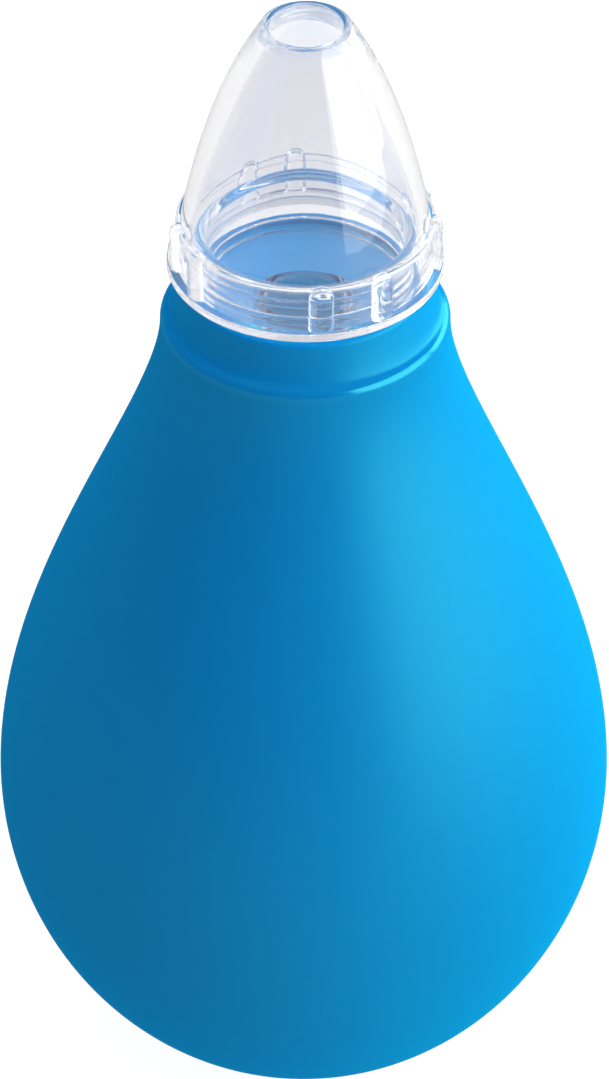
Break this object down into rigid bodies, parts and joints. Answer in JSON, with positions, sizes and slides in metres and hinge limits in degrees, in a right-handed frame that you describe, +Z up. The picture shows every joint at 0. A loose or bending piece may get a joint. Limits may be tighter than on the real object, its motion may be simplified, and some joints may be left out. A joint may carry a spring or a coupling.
{
  "type": "nasal aspirator",
  "caption": "Hand-squeezed nasal aspirator for babies: soft pear-shaped bulb, clear funnel insert and clear pull-off nozzle with grip ribs.",
  "frame": {"origin": "centre of the bulb's flat base, on the surface that the aspirator stands on", "axes": "+Z up along the common axis of all the pieces to the nozzle's tip, -Y to the front, +X to the right"},
  "size_m": [0.0538, 0.0538, 0.1043],
  "materials": {
    "soft_blue_plastic": "satin, fine matt grain, translucent blue",
    "clear_insert_plastic": "clear, glossy",
    "clear_nozzle_plastic": "clear, glossy"
  },
  "bodies": {
    "bulb_body": {"bulb": "soft_blue_plastic"},
    "insert_body": {"funnel_insert": "clear_insert_plastic"},
    "nozzle_body": {"nozzle": "clear_nozzle_plastic"}
  },
  "joints": [
    {"name": "insert_pull_out", "type": "slide", "parent": "bulb_body", "child": "insert_body", "axis": [0, 0, 1], "range_m": [0, 0.016]},
    {"name": "nozzle_pull_off", "type": "slide", "parent": "insert_body", "child": "nozzle_body", "axis": [0, 0, 1], "range_m": [0, 0.012]}
  ]
}
